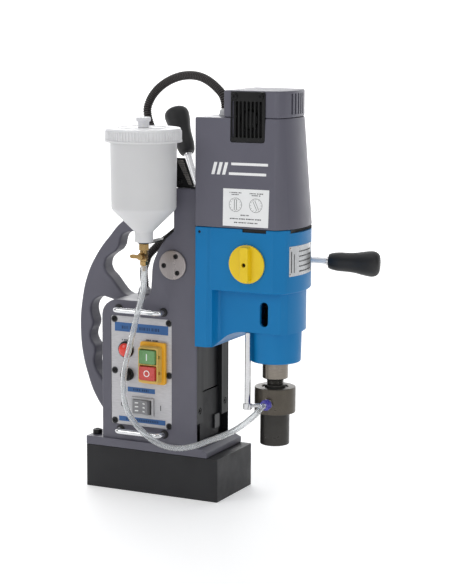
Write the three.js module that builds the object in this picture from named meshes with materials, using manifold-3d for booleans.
import * as THREE from 'three';
import Module from 'manifold-3d';
import { mergeVertices } from 'three/addons/utils/BufferGeometryUtils.js';

// Magnetic drill press.  Millimetres, +Z up, +X toward the spindle, operator panel on -Y.
// Origin: centre of the clamping face of the magnet.
const wasm = await Module();
wasm.setup();

// ---------------------------------------------------------------- driving dimensions
const GAP = 0.3;
const MAG_L = 200, MAG_W = 106.2, MAG_H = 58;
const FOOT_TOP = 70, FOOT_FRONT = 84.5, FOOT_W = 106;
const COL_W = 98, COL_FRONT = 67, COL_TOP = 416, COL_REAR = -76.8;
const CH_W = 65.2, CH_X = 42;                       // slide channel in the column
const RAIL_X0 = 57.3, RAIL_X1 = 66.7, RAIL_IN = 28, RAIL_OUT = 46.6;
const SLIDE_Z0 = 141, SLIDE_NECK = 205, SLIDE_Z1 = 414, RACK_Z0 = 206; // plate, start of its full neck, rack
const CAP_X = 32.6, CAP_Z = 314.2, PIN_R = 15, PIN_Z = 20; // capstan shaft and pinion
const SP_X = 159.3;                                  // spindle axis
const ARB_Z0 = 76.6, RING_Z0 = 120, RING_Z1 = 154.5, RING_R = 27.3; // arbor end, coolant ring
const FIT_X = 162, FIT_Z = 135.6;                    // hose fitting on the ring
const MOT_X = 137;                                   // motor axis
const SLOT_R = 6;                                    // half-width of the drift slot
const LAY_X = 118, LAY_Y = 18;                       // layshaft axis
const GB_Z0 = 230.5, GB_Z1 = 285.5, GB_Z2 = 368;     // gearbox casing levels
const MOT_Z0 = 368.4, MOT_Z1 = 510, CAPZ0 = 510.4, CAPZ1 = 545;
const BOT_X = 10, BOT_Y = -88, BOT_Z = 3.5;                     // coolant bottle axis
const HUB_Y = 82.3, SPOKE_LIFT = 17.15, SPOKE_A0 = -2.6;  // capstan hub plane, spoke cone, first spoke

// ---------------------------------------------------------------- helpers
const M = {
  cast: [0x5a5a62, 0.55, 0.2], magnet: [0x2c2c2f, 0.5, 0.3], black: [0x1f1f21, 0.45, 0.3],
  blue: [0x1a76b8, 0.38, 0.0], steel: [0xb9babd, 0.3, 0.9], chrome: [0xd8dadd, 0.12, 1.0],
  rubber: [0x262628, 0.6, 0.0], yellow: [0xf2cc1c, 0.4, 0.0], panel: [0xc3c5c8, 0.45, 0.4],
  amber: [0xeea01e, 0.4, 0.0], green: [0x4f9e55, 0.4, 0.0], red: [0xcf3a34, 0.4, 0.0],
  lens: [0xe02a1c, 0.25, 0.0], grey: [0x8f9194, 0.5, 0.0], brass: [0xb88f48, 0.3, 0.9],
  bottle: [0xdcdcde, 0.4, 0.0], violet: [0x554fae, 0.35, 0.0], copper: [0x9a5a33, 0.4, 0.8],
  epoxy: [0x232325, 0.6, 0.0], clear: [0xd9dcde, 0.15, 0.0], nylon: [0xc9cacb, 0.5, 0.0],
  oxide: [0x2e2d2c, 0.4, 0.6],
};
const group = new THREE.Group();
group.name = 'magnetic_drill_press';

function toMan(geo) {
  let g = geo.index ? geo.toNonIndexed() : geo;
  const only = new THREE.BufferGeometry();
  only.setAttribute('position', g.getAttribute('position').clone());
  const m = mergeVertices(only, 1e-4);
  return new wasm.Manifold(new wasm.Mesh({
    numProp: 3,
    vertProperties: new Float32Array(m.getAttribute('position').array),
    triVerts: new Uint32Array(m.index.array),
  }));
}
function toGeo(man) {
  const mesh = man.getMesh();
  const n = mesh.numProp, nv = mesh.vertProperties.length / n;
  const pos = new Float32Array(nv * 3);
  for (let i = 0; i < nv; i++) for (let k = 0; k < 3; k++) pos[i * 3 + k] = mesh.vertProperties[i * n + k];
  const g = new THREE.BufferGeometry();
  g.setAttribute('position', new THREE.BufferAttribute(pos, 3));
  g.setIndex(new THREE.BufferAttribute(new Uint32Array(mesh.triVerts), 1));
  return g;
}
function put(name, solid, mat) {
  const geo = solid.isBufferGeometry ? solid : toGeo(solid);
  geo.computeVertexNormals();
  const [c, r, m] = M[mat];
  const mesh = new THREE.Mesh(geo, new THREE.MeshStandardMaterial({ color: c, roughness: r, metalness: m, name: mat }));
  mesh.name = name;
  group.add(mesh);
  return mesh;
}
const T = (g, m) => { g.applyMatrix4(m); return g; };
const V = (x, y, z) => new THREE.Vector3(x, y, z);
function box(x0, x1, y0, y1, z0, z1) {
  return toMan(new THREE.BoxGeometry(x1 - x0, y1 - y0, z1 - z0).translate((x0 + x1) / 2, (y0 + y1) / 2, (z0 + z1) / 2));
}
const dirMat = { // local (u, v, w) of an extrusion to the world
  XY: new THREE.Matrix4(),
  XZ: new THREE.Matrix4().set(1, 0, 0, 0, 0, 0, -1, 0, 0, 1, 0, 0, 0, 0, 0, 1), // (u,v,w) -> (u,-w,v)
  YZ: new THREE.Matrix4().set(0, 0, 1, 0, 1, 0, 0, 0, 0, 1, 0, 0, 0, 0, 0, 1), // (u,v,w) -> (w,u,v)
};
function ext(plane, pts, a, b, holes = []) {
  const s = new THREE.Shape(pts.map(p => new THREE.Vector2(p[0], p[1])));
  for (const h of holes) s.holes.push(new THREE.Path(h.map(p => new THREE.Vector2(p[0], p[1]))));
  const g = new THREE.ExtrudeGeometry(s, { depth: b - a, bevelEnabled: false, curveSegments: 6 });
  if (plane === 'XZ') g.translate(0, 0, -b); else g.translate(0, 0, a);
  return toMan(T(g, dirMat[plane]));
}
// a cylinder between two points
function rod(a, b, r, seg = 16, r2 = r) {
  const d = new THREE.Vector3().subVectors(b, a), L = d.length();
  const g = new THREE.CylinderGeometry(r2, r, L, seg);
  g.translate(0, L / 2, 0);
  g.applyQuaternion(new THREE.Quaternion().setFromUnitVectors(V(0, 1, 0), d.normalize()));
  g.translate(a.x, a.y, a.z);
  return toMan(g);
}
// profile of [radius, height] points turned about an axis that starts at p and runs along d
function turn(prof, p, d, seg = 24) {
  const pts = prof.map(q => new THREE.Vector2(Math.max(q[0], 0), q[1]));
  const g = new THREE.LatheGeometry(pts, seg);
  g.applyQuaternion(new THREE.Quaternion().setFromUnitVectors(V(0, 1, 0), d.clone().normalize()));
  g.translate(p.x, p.y, p.z);
  let m = toMan(g);
  if (m.volume() < 0) { // profile ran the other way round
    return turn(prof.slice().reverse(), p, d, seg);
  }
  return m;
}
const ring = (ri, ro, z0, z1) => [[ri, z0], [ro, z0], [ro, z1], [ri, z1], [ri, z0]];
const solidProf = (...q) => q;
function loft(pa, za, pb, zb) {
  const n = pa.length, v = [], idx = [];
  for (const p of pa) v.push(p[0], p[1], za);
  for (const p of pb) v.push(p[0], p[1], zb);
  const fa = THREE.ShapeUtils.triangulateShape(pa.map(p => new THREE.Vector2(p[0], p[1])), []);
  for (const [a, b, c] of fa) { idx.push(a, c, b); idx.push(n + a, n + b, n + c); }
  for (let i = 0; i < n; i++) { const j = (i + 1) % n; idx.push(i, j, n + j, i, n + j, n + i); }
  const g = new THREE.BufferGeometry();
  g.setAttribute('position', new THREE.BufferAttribute(new Float32Array(v), 3));
  g.setIndex(idx);
  return toMan(g);
}
function union(...m) { return m.reduce((a, b) => a.add(b)); }
// polygon with its corners turned counter-clockwise
function ccw(p) { let s = 0; for (let i = 0; i < p.length; i++) { const a = p[i], b = p[(i + 1) % p.length]; s += a[0] * b[1] - b[0] * a[1]; } return s > 0 ? p : p.slice().reverse(); }
const mirrorY = pts => pts.concat(pts.slice().reverse().filter(p => Math.abs(p[1]) > 1e-6).map(p => [p[0], -p[1]]));
// involute gear outline: module, teeth, phase = angle of a tooth centre
function gear(m, z, phase, backlash = 0.22, add = 0.9, ded = 1.15) {
  const rp = m * z / 2, rb = rp * Math.cos(Math.PI / 9), ra = rp + add * m, rr = rp - ded * m;
  const inv = r => { const t = Math.sqrt(Math.max(0, (r / rb) ** 2 - 1)); return t - Math.atan(t); };
  const half = (Math.PI * m / 2 - backlash) / (2 * rp);
  const pts = [], r0 = Math.max(rb, rr), a0 = half + inv(rp) - inv(r0), a1 = half + inv(rp) - inv(ra);
  for (let i = 0; i < z; i++) {
    const c = phase + i * 2 * Math.PI / z;
    for (const [r, a] of [[rr, c - a0], [ra, c - a1], [ra, c + a1], [rr, c + a0]]) pts.push([r * Math.cos(a), r * Math.sin(a)]);
  }
  return pts;
}
// a tube along points, as an extrusion
function tube(points, r, sides, steps) {
  const s = new THREE.Shape();
  for (let i = 0; i < sides; i++) { const a = i * 2 * Math.PI / sides; (i ? s.lineTo : s.moveTo).call(s, r * Math.cos(a), r * Math.sin(a)); }
  s.closePath();
  const c = new THREE.CatmullRomCurve3(points.map(p => V(...p)), false, 'centripetal');
  return toMan(new THREE.ExtrudeGeometry(s, { steps, extrudePath: c, curveSegments: 1, bevelEnabled: false }));
}

// ================================================================ magnet
{
  const track = (L, W, n = 6) => { // race track outline
    const r = W / 2, c = L / 2 - r, p = [];
    for (let i = 0; i <= n; i++) { const a = -Math.PI / 2 + Math.PI * i / n; p.push([c + r * Math.cos(a), r * Math.sin(a)]); }
    for (let i = 0; i <= n; i++) { const a = Math.PI / 2 + Math.PI * i / n; p.push([-c + r * Math.cos(a), r * Math.sin(a)]); }
    return p;
  };
  const rr = (L, W, r) => { const p = []; for (const [sx, sy, a0] of [[1, -1, -90], [1, 1, 0], [-1, 1, 90], [-1, -1, 180]]) for (let i = 0; i <= 2; i++) { const a = (a0 + 45 * i) * Math.PI / 180; p.push([sx * (L / 2 - r) + r * Math.cos(a), sy * (W / 2 - r) + r * Math.sin(a)]); } return p; };
  const body = ext('XY', rr(MAG_L, MAG_W, 1.5), 0, MAG_H);
  const groove = ext('XY', track(168, 78), -1, 38, []).subtract(ext('XY', track(130, 40), -2, 39));
  put('magnet_body', body.subtract(groove), 'magnet');
  put('magnet_coil', ext('XY', track(167.2, 77.2), 9, 37.5, [track(130.8, 40.8).reverse()]), 'copper');
  put('magnet_potting', ext('XY', track(167.2, 77.2), 0.6, 8.6, [track(130.8, 40.8).reverse()]), 'epoxy');
}

// ================================================================ column casting
const S_CURVE = [[32.8, 409], [32.8, 359], [20, 347], [10, 333], [1.6, 313], [-0.6, 290], [-2.2, 277], [-8, 267.5], [-16, 262.5], [-30, 261.3]];
{
  const outline = ccw([[COL_REAR, 65], [COL_FRONT, 65], [COL_FRONT, COL_TOP], [39, COL_TOP], ...S_CURVE, [-54, 261.3], [-62, 259], [-71.5, 251.5], [COL_REAR, 240]]);
  let body = ext('XZ', outline, -COL_W / 2, COL_W / 2);
  const foot = ext('XZ', ccw([[-100, MAG_H + GAP], [FOOT_FRONT, MAG_H + GAP], [FOOT_FRONT, 66], [75, FOOT_TOP], [-100, FOOT_TOP]]), -FOOT_W / 2, FOOT_W / 2);
  const outer = [[-74, 78], [-86, 88], [-98.4, 100.9], [-105.6, 110.9], [-113.5, 124.3], [-121.3, 144.8], [-127.5, 165.4], [-131.3, 186.3], [-132.7, 207.3], [-132.5, 228.4], [-129.9, 249.7], [-125.7, 270.9], [-118.3, 292.3], [-108.6, 311], [-96.8, 328.3], [-84.5, 342.7], [-73.5, 355.7], [-64.1, 363.8], [-46, 379], [-22, 394.5], [8, 406], [34, 411], [34, 250], [-60, 250]];
  let handle = ext('XZ', ccw(outer), -13, 13);
  const up = [[33.5, 389], [12, 385.5], [-10, 377.5], [-30, 365], [-47, 350.4], [-58.3, 347.9], [-65.9, 343.2], [-69, 335.6], [-70.2, 329.3], [-75.1, 321.8], [-85, 314.9], [-91.4, 308.4], [-93.5, 299.6], [-90.1, 291.3], [-82.4, 284.3], [-72.6, 272.7], [-64.4, 264.6], [-57, 261.4], [-40, 258], [34, 258]];
  const low = [[-74, 252.5], [-97, 257.3], [-104.1, 255], [-109.7, 251.1], [-113.8, 245.2], [-115.4, 238.1], [-113.9, 229.8], [-111.6, 221.6], [-112.5, 214.5], [-115.7, 207.2], [-116.6, 200.1], [-114.2, 193.3], [-109.5, 186.7], [-108.8, 178.3], [-110.5, 169.7], [-110.5, 162.6], [-107.4, 154.4], [-102.7, 147.8], [-95, 139], [-84, 129], [-74, 123]];
  handle = handle.subtract(ext('XZ', ccw(up), -20, 20)).subtract(ext('XZ', ccw(low), -20, 20));
  body = union(body, foot, handle);
  // slide channel, rail seats, pinion pocket and shaft bores
  body = body.subtract(box(CH_X, 80, -CH_W / 2, CH_W / 2, FOOT_TOP + 4, 500));
  body = body.subtract(box(RAIL_X0 - GAP, 80, -RAIL_OUT - GAP, RAIL_OUT + GAP, FOOT_TOP + 4, 500));
  body = body.subtract(rod(V(CAP_X, -11, CAP_Z), V(CAP_X, 11, CAP_Z), 19, 20)).subtract(box(CAP_X, CH_X + 1, -11, 11, CAP_Z - 19, CAP_Z + 19));
  body = body.add(rod(V(CAP_X, COL_W / 2 - 1, CAP_Z), V(CAP_X, 62, CAP_Z), 22, 24));
  body = body.subtract(rod(V(CAP_X, -60, CAP_Z), V(CAP_X, 70, CAP_Z), 8.4, 20));
  // control box: cavity, window, recess, outlets
  body = body.subtract(box(-69, 30, -43, 43, 80, 254)).subtract(box(-53, 21, -48, -42, 99, 231)).subtract(box(-62.8, 30.1, -60, -46.2, 90.3, 239.9));
  body = body.subtract(rod(V(-46, 16, 250), V(-46, 16, 270), 6.2, 12));
  put('column_casting', body, 'cast');
  // guide rails
  for (const [n, s] of [['guide_rail_near', -1], ['guide_rail_far', 1]]) {
    const y0 = s > 0 ? RAIL_IN : -RAIL_OUT, y1 = s > 0 ? RAIL_OUT : -RAIL_IN;
    put(n, box(RAIL_X0, RAIL_X1, y0, y1, 101, 419), 'black');
  }
  put('top_plate', ext('XZ', ccw([[16, COL_TOP + GAP], [57, COL_TOP + GAP], [57, 419.3], [58.8, 419.4], [45.5, 455], [16, 455]]), -43, -39), 'black');
}

// ================================================================ control panel
const rect = (x0, x1, z0, z1) => [[x0, z0], [x1, z0], [x1, z1], [x0, z1]];
const circ = (x, z, r, n = 20) => Array.from({ length: n }, (_, i) => [x + r * Math.cos(i * 2 * Math.PI / n), z + r * Math.sin(i * 2 * Math.PI / n)]);
const LAMP = [-39.5, 194], FUSE = [-36.3, 160.5];
{
  const P0 = -48.2, P1 = -46.5;
  put('control_panel', ext('XZ', rect(-62.5, 29.8, 90.6, 239.6), P0, P1, [rect(-12.2, 18.7, 156.4, 201.4).reverse(), circ(...LAMP, 7.3, 16).reverse(), circ(...FUSE, 7.3, 16).reverse(), rect(-30.1, 2.1, 106.2, 129.8).reverse()]), 'panel');
  // switch: plate with raised collar, pocket for each button, body behind the panel
  let sw = union(box(-15.4, 22.5, -54, P0 - GAP, 151.6, 208.5), box(-12.9, 17.9, -65, -53.9, 154.3, 203.6), box(-11.9, 18.4, -54, -18, 156.7, 201.1));
  sw = sw.subtract(box(-9.9, 15.5, -80, -50, 180.5, 200.7)).subtract(box(-9.9, 15.5, -80, -50, 158.4, 178.7));
  put('switch_body', sw, 'amber');
  put('start_button', box(-9.6, 15.2, -69, -53, 180.8, 200.4), 'green');
  put('stop_button', box(-9.6, 15.2, -69, -53, 158.7, 178.4), 'red');
  const nY = V(0, 1, 0);
  put('lamp_bezel', turn([[7, -51.5], [11, -51.5], [11.6, P0 - GAP], [7, P0 - GAP], [7, -51.5]], V(LAMP[0], 0, LAMP[1]), nY, 24), 'black');
  put('lamp_lens', turn(solidProf([0, -57], [5, -56.3], [8, -54.5], [9.3, -52.2], [9.3, -51.8], [6.7, -51.8], [6.7, -40], [0, -40]), V(LAMP[0], 0, LAMP[1]), nY, 24), 'lens');
  put('fuse_holder', turn(solidProf([0, -60], [6.4, -60], [7, -59], [7, -52.5], [8.6, -52], [8.6, P0 - GAP], [7, P0 - GAP], [7, -25], [0, -25]), V(FUSE[0], 0, FUSE[1]), nY, 20), 'black');
  put('rocker_frame', union(box(-31, 3, -51, P0 - GAP, 105.4, 130.6), box(-29.8, 1.8, -49, -30, 106.5, 129.5)).subtract(box(-28.2, 0.2, -70, -39, 108.1, 127.9)), 'grey');
  // rocker key: symmetric section about its pivot, stored tilted to its OFF side
  const tilt = -8 * Math.PI / 180, key = [[-11.3, 1.6], [-12.3, -6.5], [-12.3, -11.8], [-10.4, -12], [0, -8.8], [10.4, -12], [12.3, -11.8], [12.3, -6.5], [11.3, 1.6]];
  put('rocker_key', ext('XY', ccw(key.map(([x, y]) => [-14 + x * Math.cos(tilt) - y * Math.sin(tilt), -43 + x * Math.sin(tilt) + y * Math.cos(tilt)])), 108.5, 127.5), 'grey');
}
// guard bars
for (const [n, x0, x1, z] of [['guard_bar_upper', -50, 18, 249.5], ['guard_bar_lower', -48, 19, 83.6]]) {
  const r = 3.7, y = -62.5, y0 = -49 - GAP, k = 5;
  const pts = [[x0, y0], [x0, y0 - 3], [x0, y + k], [x0 + 1.5, y + 1.5], [x0 + k, y], [x0 + 14, y], [x1 - 14, y], [x1 - k, y], [x1 - 1.5, y + 1.5], [x1, y + k], [x1, y0 - 3], [x1, y0]];
  put(n, tube(pts.map(p => [p[0], p[1], z]), r, 10, 20), 'chrome');
}

// ================================================================ coolant bottle, valve
{
  const ax = V(BOT_X, BOT_Y, BOT_Z), z = V(0, 0, 1);
  let br = ext('XZ', ccw([[6, 346], [17.5, 346], [19.6, 348], [31.6, 358.5], [29.6, 360.6], [18.3, 350], [16.8, 347.5], [6, 347.5]]), -52, -36);
  br = br.subtract(box(-10, 40, -60, -48.4, 348, 400)).subtract(box(16, 40, -60, -48.4, 340, 400)).add(box(7, 20, -88, -49.4, 346, 347.5)).add(rod(V(BOT_X, BOT_Y, 346), V(BOT_X, BOT_Y, 347.5), 8, 20));
  br = br.subtract(rod(V(BOT_X, BOT_Y, 330), V(BOT_X, BOT_Y, 360), 4.9, 16));
  put('bottle_bracket', br, 'black');
  put('reservoir_bottle', turn([[2.6, 337], [4.6, 337], [4.6, 344.3], [12.2, 344.3], [12.2, 357], [42, 387.5], [43.2, 472], [43.2, 489], [41.4, 489], [40.2, 388.3], [9.4, 357.5], [9, 346.5], [2.6, 346], [2.6, 337]], ax, z, 26), 'bottle');
  put('bottle_lid', turn([[6.8, 493], [47.5, 493], [50, 490.5], [50, 475], [44, 475], [44, 489.6], [6.8, 489.6], [6.8, 493]], ax, z, 32), 'bottle');
  put('vent_plug', turn(solidProf([0, 485], [6.4, 485], [6.4, 493.4], [7.4, 493.4], [7.4, 500.5], [9.5, 501.5], [9.5, 506.5], [0, 506.5]), ax, z, 16), 'bottle');
  let vb = turn(solidProf([0, 306], [2.3, 306], [3.4, 308], [2.7, 308.4], [3.4, 310.6], [3.4, 313], [4.6, 314], [4.6, 320], [5.4, 321], [5.4, 333], [7, 333.7], [7, 342.2], [4.9, 342.2], [4.9, 336.6], [0, 336.6]), ax, z, 10);
  vb = vb.add(rod(V(BOT_X, BOT_Y, 326 + BOT_Z), V(BOT_X, BOT_Y - 8, 326 + BOT_Z), 5, 14));
  put('valve_body', vb, 'brass');
  const lz = 326 + BOT_Z, ly = BOT_Y - 8.3;
  put('valve_lever', union(rod(V(BOT_X, ly, lz), V(BOT_X, ly - 4.3, lz), 3.8, 12), ext('XZ', ccw([[BOT_X - 1, lz - 2.4], [BOT_X - 10.5, lz - 2.6], [BOT_X - 13.4, lz - 1.8], [BOT_X - 14.6, lz + 0.2], [BOT_X - 13.2, lz + 2.2], [BOT_X - 10, lz + 2.7], [BOT_X - 1, lz + 2.5]]), ly - 4.1, ly - 1.1)), 'brass');
}

// ================================================================ feed carriage
const FRONT = (cx, R, ys) => ys.map(y => [cx + Math.sqrt(R * R - y * y), y]);
{
  // slide: flange behind the rails, neck between them, groove for the rack
  let sl = ext('XY', ccw([[43, -32], [56.8, -32], [56.8, -27.6], [67, -27.6], [67, 27.6], [56.8, 27.6], [56.8, 32], [43, 32]]), SLIDE_Z0, SLIDE_Z1);
  sl = sl.subtract(box(40, 54.4, -12, 12, SLIDE_Z0 - 5, SLIDE_Z1 + 5)).subtract(box(60.4, 70, -40, 40, SLIDE_Z0 - 5, SLIDE_NECK));
  put('slide', sl, 'black');
  // rack: pitch line one pinion radius from the capstan shaft
  const m = 2 * PIN_R / PIN_Z, pitch = Math.PI * m, xp = CAP_X + PIN_R, add = 0.9 * m, ded = 1.15 * m, tn = Math.tan(Math.PI / 9), h = (pitch / 2 - 0.22) / 2;
  const pts = [[54.1, RACK_Z0]];
  const n0 = Math.ceil((RACK_Z0 + 3 - CAP_Z) / pitch), n1 = Math.floor((SLIDE_Z1 - 4 - CAP_Z) / pitch);
  pts.push([xp + ded, RACK_Z0]);
  for (let i = n0; i <= n1; i++) {
    const c = CAP_Z + i * pitch;
    pts.push([xp + ded, c - h - ded * tn], [xp - add, c - h + add * tn], [xp - add, c + h - add * tn], [xp + ded, c + h + ded * tn]);
  }
  pts.push([xp + ded, SLIDE_Z1 - 1], [54.1, SLIDE_Z1 - 1]);
  put('rack', ext('XZ', ccw(pts), -11.7, 11.7), 'steel');
}
// gearbox casing
{
  const half = p => ccw(mirrorY(p));
  const U = half([[67.4, -54.5], [84, -54.5], [88.5, -51], [176.4, -51], [189.9, -42], ...FRONT(94, 105.9, [-34, -24, -12, 0])]);
  const Ui = half([[73, -44.5], [86, -46], [174.7, -46], [184, -38.9], ...FRONT(94, 98.3, [-31, -20, -10, 0])]);
  const L = half([[67.4, -54.5], [84, -54.5], [88.5, -51], [90.5, -51], [92.4, -42], [94.2, -38.8], [97.6, -37], [183, -37], [188.6, -31.5], ...FRONT(115.1, 80.6, [-24, -12, 0])]);
  const Li = half([[99, -32], [181.3, -32], [184.2, -29.4], ...FRONT(115.1, 75, [-22, -11, 0])]);
  let g = ext('XY', U, GB_Z1 - 0.5, GB_Z2);
  const arch = ext('XZ', ccw([[60, 208.8], [90.8, 209], [92.6, 212], [97.7, 217.2], [103, 221.6], [109, 225.2], [117.4, 228.4], [126, 230], [136, GB_Z0], [200, GB_Z0], [200, GB_Z1], [60, GB_Z1]]), -60, 60);
  g = g.add(ext('XY', L, 200, GB_Z1).intersect(arch));
  g = g.add(turn(solidProf([0, 189], [33.2, 189], [34, 190.2], [34.8, 231.5], [0, 231.5]), V(SP_X, 0, 0), V(0, 0, 1), 36));
  g = g.subtract(ext('XY', Ui, GB_Z1, GB_Z2 + 5)).subtract(ext('XY', Li, 236, GB_Z1 + 1));
  g = g.subtract(turn(solidProf([0, 195], [24, 195], [24, 240], [0, 240]), V(SP_X, 0, 0), V(0, 0, 1), 28));
  g = g.subtract(rod(V(SP_X, 0, 180), V(SP_X, 0, 200), 18, 28));
  // drift slot both sides, knob bore, recesses along the top edge
  const slot = ext('XZ', [...Array.from({ length: 9 }, (_, i) => [SP_X + SLOT_R * Math.cos(Math.PI * i / 8), 265.9 + SLOT_R * Math.sin(Math.PI * i / 8)]), ...Array.from({ length: 9 }, (_, i) => [SP_X + SLOT_R * Math.cos(Math.PI + Math.PI * i / 8), 245.3 + SLOT_R * Math.sin(Math.PI + Math.PI * i / 8)])], -60, 60);
  g = g.subtract(slot);
  g = g.subtract(rod(V(141.5, -60, 322.5), V(141.5, -40, 322.5), 5.4, 16));
  g = g.subtract(box(134, 168, -60, -49.2, GB_Z2 - 4.5, GB_Z2 + 1)).subtract(box(134, 168, 49.2, 60, GB_Z2 - 4.5, GB_Z2 + 1));
  g = g.subtract(box(194.5, 210, -36, 36, GB_Z2 - 4.5, GB_Z2 + 1));
  put('gearbox_casing', g, 'blue');
  // inner plate that carries the gear shafts
  const Pi = half([[73.4, -44.1], [86, -45.6], [174.5, -45.6], [183.7, -38.6], ...FRONT(94, 97.9, [-31, -20, -10, 0])]);
  let pl = ext('XY', Pi, 309, 316);
  for (const [x, y, r] of [[SP_X, 0, 12.4], [LAY_X, LAY_Y, 6.4], [MOT_X, 0, 5.4]]) pl = pl.subtract(rod(V(x, y, 300), V(x, y, 320), r, 20));
  put('bearing_plate', pl, 'steel');
}
// motor housing: tapers from the gearbox upward
const sideRot = Math.atan2(8, 109.6);
{
  const A = ccw(mirrorY([[67.4, -54.5], [88, -53.2], [178, -51.6], [182.6, -50.4], [185, -47.6], ...FRONT(94, 106.3, [-36, -24, -12, 0])]));
  const B = ccw(mirrorY([[67.4, -54.5], [88, -51.5], [172, -42.4], [177, -41.2], [180.2, -38.6], ...FRONT(94, 95.3, [-31, -21, -10.5, 0])]));
  const Ai = ccw(mirrorY([[72.4, -45], [88, -46.6], [176, -46.6], [179.6, -45.4], [180.5, -43], ...FRONT(94, 99, [-34, -22, -11, 0])]));
  const Bi = ccw(mirrorY([[72.4, -45], [88, -43.6], [170, -37.6], [172, -36.5], [173.6, -34.6], ...FRONT(94, 88, [-29, -20, -10, 0])]));
  let h = loft(A, MOT_Z0, B, MOT_Z1);
  h = h.subtract(loft(Ai, MOT_Z0 + 4.6, Bi, MOT_Z1 - 4));
  h = h.subtract(box(108, 170, -35, 35, MOT_Z1 - 8, MOT_Z1 + 5));
  h = h.subtract(rod(V(MOT_X, 0, MOT_Z0 - 5), V(MOT_X, 0, MOT_Z0 + 9), 7, 20));
  const seat = (s, d0, d1, x0, x1, z0, z1) => { // a box on the slanted side, d = distance out from the centre plane at x=136
    const g = new THREE.BoxGeometry(x1 - x0, d1 - d0, z1 - z0);
    g.translate((x0 + x1) / 2 - 136, -(d0 + d1) / 2, (z0 + z1) / 2);
    g.rotateZ(sideRot);
    g.translate(136, 0, 0);
    if (s > 0) { g.scale(1, -1, 1); const p = g.index.array; for (let i = 0; i < p.length; i += 3) { const t = p[i]; p[i] = p[i + 1]; p[i + 1] = t; } }
    return toMan(g);
  };
  const C = ccw(mirrorY([[104, -44], [107, -47], [172, -42.4], [177, -41.2], [180.2, -38.6], ...FRONT(94, 95, [-31, -21, -10.5, 0])]));
  const Ci = ccw(mirrorY([[108, -41], [109, -42.6], [170, -37.9], [172, -36.7], [174, -34.8], ...FRONT(94, 89, [-29, -20, -10, 0])]));
  let c = ext('XY', C, CAPZ0, CAPZ1 - 2.5);
  const Ct = ccw(mirrorY([[106, -42.6], [108, -45], [171, -40.5], [175, -39.2], [177.8, -36.8], ...FRONT(94, 92.6, [-30, -20, -10, 0])]));
  const Cb = ccw(mirrorY([[104, -44], [107, -47], [172, -42.4], [177, -41.2], [180.2, -38.6], ...FRONT(94, 95, [-31, -21, -10.5, 0])]));
  c = c.add(loft(Cb, CAPZ1 - 2.6, Ct, CAPZ1));
  c = c.subtract(ext('XY', Ci, CAPZ0 - 2, CAPZ1 - 5));
  for (let i = -2; i <= 2; i++) c = c.subtract(box(176, 195, i * 8.2 - 1.8, i * 8.2 + 1.8, 514.5, 541));
  for (const s of [-1, 1]) {
    h = h.subtract(seat(s, 43.6, 60, 111.7, 159.1, 478.7, 560)).subtract(seat(s, 30, 60, 115, 156, 484, 560));
    c = c.subtract(seat(s, 43.6, 60, 111.7, 159.1, 470, 543.9)).subtract(seat(s, 30, 60, 115, 156, 470, 536));
    let gr = seat(s, 43.9, 46.8, 112, 158.8, 479, 543.6);
    for (let i = 0; i < 8; i++) { const x = 114.1 + i * 5.4; gr = gr.subtract(seat(s, 40, 50, x, x + 3, 485, 531)); }
    gr = gr.add(turn(solidProf([0, 0], [13, 0], [13, 2.4], [11, 4.0], [0, 4.6]), V(135.4, s * 43.97, 508), V(s > 0 ? 0 : 0, s, 0), 20));
    put(s < 0 ? 'vent_grille_near' : 'vent_grille_far', gr, 'black');
  }
  put('motor_housing', h, 'cast');
  put('motor_cap', c, 'cast');
  put('stator', turn(ring(25.4, 36, 396, 456), V(MOT_X, 0, 0), V(0, 0, 1), 28), 'steel');
}
// glands and their conduit
const GL = [-46, 16], GU = [88, -8];
put('gland_lower', turn([[6, 261.6], [9.6, 261.6], [9.6, 267], [8, 270], [6, 270], [6, 261.6]], V(GL[0], GL[1], 0), V(0, 0, 1), 12), 'nylon');
put('gland_upper', turn([[5.2, MOT_Z1 + GAP], [8.4, MOT_Z1 + GAP], [8.4, 515], [7, 518], [5.2, 518], [5.2, MOT_Z1 + GAP]], V(GU[0], GU[1], 0), V(0, 0, 1), 12), 'nylon');
put('conduit', tube([[-46, 16, 270.9], [-46.2, 16.2, 276], [-48.6, 18.5, 285], [-50, 21, 293], [-48.6, 24, 302], [-46.2, 27, 311.5], [-41, 29, 318.5], [-29.1, 31.5, 330.1], [-15.7, 32.5, 339.8], [-4, 33, 350], [3, 33, 366], [5, 32, 400], [-4, 31, 430], [-22, 29.5, 458], [-39, 28.5, 482], [-47.7, 28, 509.6], [-43.5, 27.5, 524.2], [-31.4, 26, 539.1], [-12.8, 22, 550.9], [5.8, 17.5, 557.6], [23.7, 12.5, 560.2], [42, 7, 559.2], [58.5, 2, 553.9], [72.7, -2.5, 545.5], [83.1, -6, 536.6], [87.3, -7.7, 527], [88, -8, 522.5], [88, -8, 518.9]], 6, 8, 52), 'black');

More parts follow.
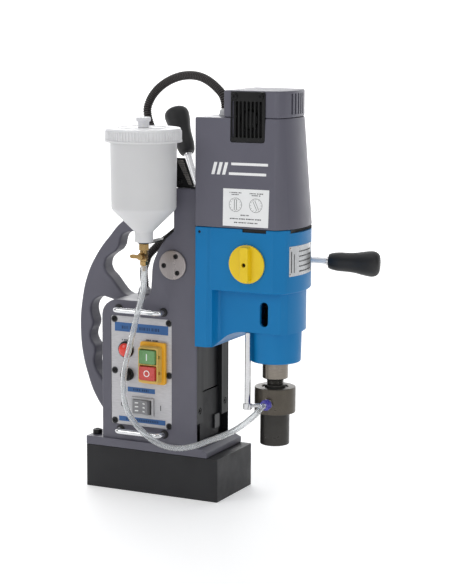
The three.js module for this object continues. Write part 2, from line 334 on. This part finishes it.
// coolant ring with its torque rod
{
  const ax = V(SP_X, 0, 0), z = V(0, 0, 1);
  let r = turn([[17.4, RING_Z0], [26.5, RING_Z0], [RING_R, RING_Z0 + 0.8], [RING_R, RING_Z1 - 1], [26.5, RING_Z1], [18.6, RING_Z1], [17.4, RING_Z1 - 1.2], [17.4, RING_Z0]], ax, z, 32);
  r = r.subtract(rod(V(FIT_X, -40, FIT_Z), V(FIT_X, -12, FIT_Z), 3.4, 12));
  put('coolant_ring', r, 'oxide');
  put('torque_rod', rod(V(135.6, -35, 127.5), V(135.6, -35, GB_Z0 - 0.4), 3.6, 14), 'chrome');
  put('torque_arm', rod(V(139.6, -34.2, 131.9), V(154.9, -30.3, 134.3), 2.4, 12), 'chrome');
  put('hose_fitting', union(rod(V(FIT_X, -38, FIT_Z), V(FIT_X, -27.7, FIT_Z), 6.2, 6), rod(V(FIT_X, -41.5, FIT_Z), V(FIT_X, -37, FIT_Z), 5.6, 12), rod(V(FIT_X, -28, FIT_Z), V(FIT_X, -22, FIT_Z), 3, 12)), 'violet');
}
put('coolant_hose', tube([[10, -88, 309.2], [10, -88, 303], [9.3, -88, 290], [4.7, -87, 271], [-5.1, -84.5, 239.7], [-16.5, -82, 201.4], [-24.7, -80, 172.4], [-26.8, -79, 149.8], [-23.7, -78, 124], [-9.9, -77, 100.6], [17.6, -76, 80.2], [44.9, -75, 73.6], [71.9, -74, 77.8], [98.4, -72.5, 88.8], [127.9, -69, 102.6], [144, -63.5, 114.2], [156.5, -55, 126.6], [161, -48.6, 133.4], [162, -44.5, 135.4], [162, -42.1, 135.6]], 4, 8, 46), 'clear');

// ================================================================ speed knob
put('speed_knob', union(
  turn(solidProf([0, -54.4], [24.2, -54.4], [25.2, -53.6], [25.2, -51.4], [0, -51.4]), V(141.5, 0, 322.5), V(0, 1, 0), 32),
  ext('XZ', [[134.5, 298.5], [148.5, 298.5], [148.5, 346.5], [134.5, 346.5]], -62.5, -54.3),
  rod(V(141.5, -52, 322.5), V(141.5, -43, 322.5), 5, 14)).subtract(rod(V(141.5, -64, 322.5), V(141.5, -57, 322.5), 2.6, 12)), 'yellow');

// ================================================================ spindle, arbor, gears
const m1 = 2 * Math.hypot(MOT_X - LAY_X, LAY_Y) / 50, m2 = 2 * Math.hypot(SP_X - LAY_X, LAY_Y) / 50; // 10:40 and 20:30 teeth
const aML = Math.atan2(LAY_Y, LAY_X - MOT_X), aLS = Math.atan2(-LAY_Y, SP_X - LAY_X);
{
  const ax = V(SP_X, 0, 0), z = V(0, 0, 1);
  let s = turn(solidProf([0, 166], [17, 166], [17, 200], [15, 200.4], [15, 289.6], [12, 289.6], [12, 320], [0, 320]), ax, z, 28);
  s = s.subtract(turn(solidProf([0, 160], [12.3, 160], [12.3, 166], [9.6, 240], [9.6, 272], [0, 272]), ax, z, 24));
  s = s.subtract(box(SP_X - 4, SP_X + 4, -30, 30, 244, 271.5));
  put('spindle', s, 'steel');
  const og = gear(m2, 30, aLS + Math.PI + Math.PI / 30);
  put('output_gear', ext('XY', ccw(og.map(p => [p[0] + SP_X, p[1]])), 290, 306, [circ(SP_X, 0, 12.3, 20).reverse()]), 'steel');
  put('spindle_bearing', turn(ring(15.3, 23.7, 201, 215), ax, z, 28), 'steel');
  let a = turn(solidProf([0, ARB_Z0], [18.6, ARB_Z0], [19.4, ARB_Z0 + 0.8], [19.4, RING_Z0 - 0.4], [17.1, RING_Z0 - 0.4], [17.1, 152.5], [13.6, 153], [13.6, 157.5], [11.2, 158.5], [11.2, 165], [11.9, 166], [9.3, 238], [5.5, 240], [5.5, 252], [0, 252]), ax, z, 24);
  a = a.subtract(rod(V(SP_X, 0, 70), V(SP_X, 0, 128), 9.6, 24));
  const at = (d, q) => V(SP_X + d[0] * q, d[1] * q, 99), dirs = [[-1, 0], [0, 1]];
  for (const d of dirs) a = a.subtract(rod(at(d, 5), at(d, 25), 4, 12));
  put('arbor', a, 'oxide');
  dirs.forEach((d, i) => put('set_screw_' + (i + 1), rod(at(d, 10.2), at(d, 18.8), 3.7, 12), 'oxide'));
}
{
  const g2 = gear(m1, 40, aML + Math.PI + Math.PI / 40, 0.2, 0.85, 1.1), g3 = gear(m2, 20, aLS);
  const at = p => ccw(p.map(q => [q[0] + LAY_X, q[1] + LAY_Y]));
  put('layshaft', union(ext('XY', at(g2), 328, 340), ext('XY', at(g3), 289, 307), rod(V(LAY_X, LAY_Y, 286), V(LAY_X, LAY_Y, 346), 6, 16)), 'steel');
  const g1 = gear(m1, 10, aML, 0.2, 0.85, 1.1).map(q => [q[0] + MOT_X, q[1]]);
  const ax = V(MOT_X, 0, 0), z = V(0, 0, 1);
  put('armature', union(ext('XY', ccw(g1), 327, 341), turn(solidProf([0, 310], [4, 310], [4, 398], [24.4, 398], [24.4, 454], [6, 454], [6, 462], [14, 462], [14, 480], [4, 480], [4, 500], [0, 500]), ax, z, 24)), 'copper');
  let fan = turn([[4.3, 380], [26, 380], [26, 381.6], [9, 382.4], [9, 392], [4.3, 392], [4.3, 380]], ax, z, 24);
  for (let i = 0; i < 8; i++) {
    const g = new THREE.BoxGeometry(17.5, 1.4, 9).translate(17, 0, 385.8).rotateZ(i * Math.PI / 4).translate(MOT_X, 0, 0);
    fan = fan.add(toMan(g));
  }
  put('cooling_fan', fan, 'black');
}

// ================================================================ capstan
{
  const c = V(CAP_X, 0, CAP_Z), y = V(0, 1, 0), rad = Math.PI / 180;
  const pin = gear(2 * PIN_R / PIN_Z, PIN_Z, Math.PI / PIN_Z).map(p => [p[0] + CAP_X, p[1] + CAP_Z]);
  put('pinion_shaft', union(ext('XZ', ccw(pin), -10, 10), rod(V(CAP_X, -48.6, CAP_Z), V(CAP_X, 98.5, CAP_Z), 8, 18)), 'steel');
  put('bearing_cover', turn(solidProf([0, -52.4], [19, -52.4], [19.6, -51.8], [19.6, -49.3], [0, -49.3]), c, y, 32), 'steel');
  let hub = turn([[8.3, 62.5], [16, 62.5], [18, 65], [26, 69], [26, 92.5], [23, 95.5], [8.3, 95.5], [8.3, 62.5]], c, y, 28);
  const dirs = [0, 120, 240].map(k => { const a = (SPOKE_A0 + k) * rad, l = SPOKE_LIFT * rad; return V(Math.cos(l) * Math.cos(a), Math.sin(l), Math.cos(l) * Math.sin(a)); });
  const o = V(CAP_X, HUB_Y - 4, CAP_Z), at = (d, L) => V(o.x + d.x * L, o.y + d.y * L, o.z + d.z * L);
  for (const d of dirs) hub = hub.subtract(rod(at(d, 13), at(d, 40), 4.4, 12));
  put('capstan_hub', hub, 'black');
  dirs.forEach((d, i) => {
    put('spoke_' + (i + 1), rod(at(d, 13.3), at(d, 188), 4, 12), 'chrome');
    put('grip_' + (i + 1), turn([[4.3, 155.5], [9.6, 155.5], [11.4, 158.5], [12.9, 168.6], [13.3, 181.7], [14.6, 196.6], [17.2, 208.8], [17.6, 215.3], [15.4, 222.3], [9.5, 225.6], [0, 226.5], [0, 188.4], [4.3, 188.4], [4.3, 155.5]], o, d, 16), 'rubber');
  });
}
export default group;
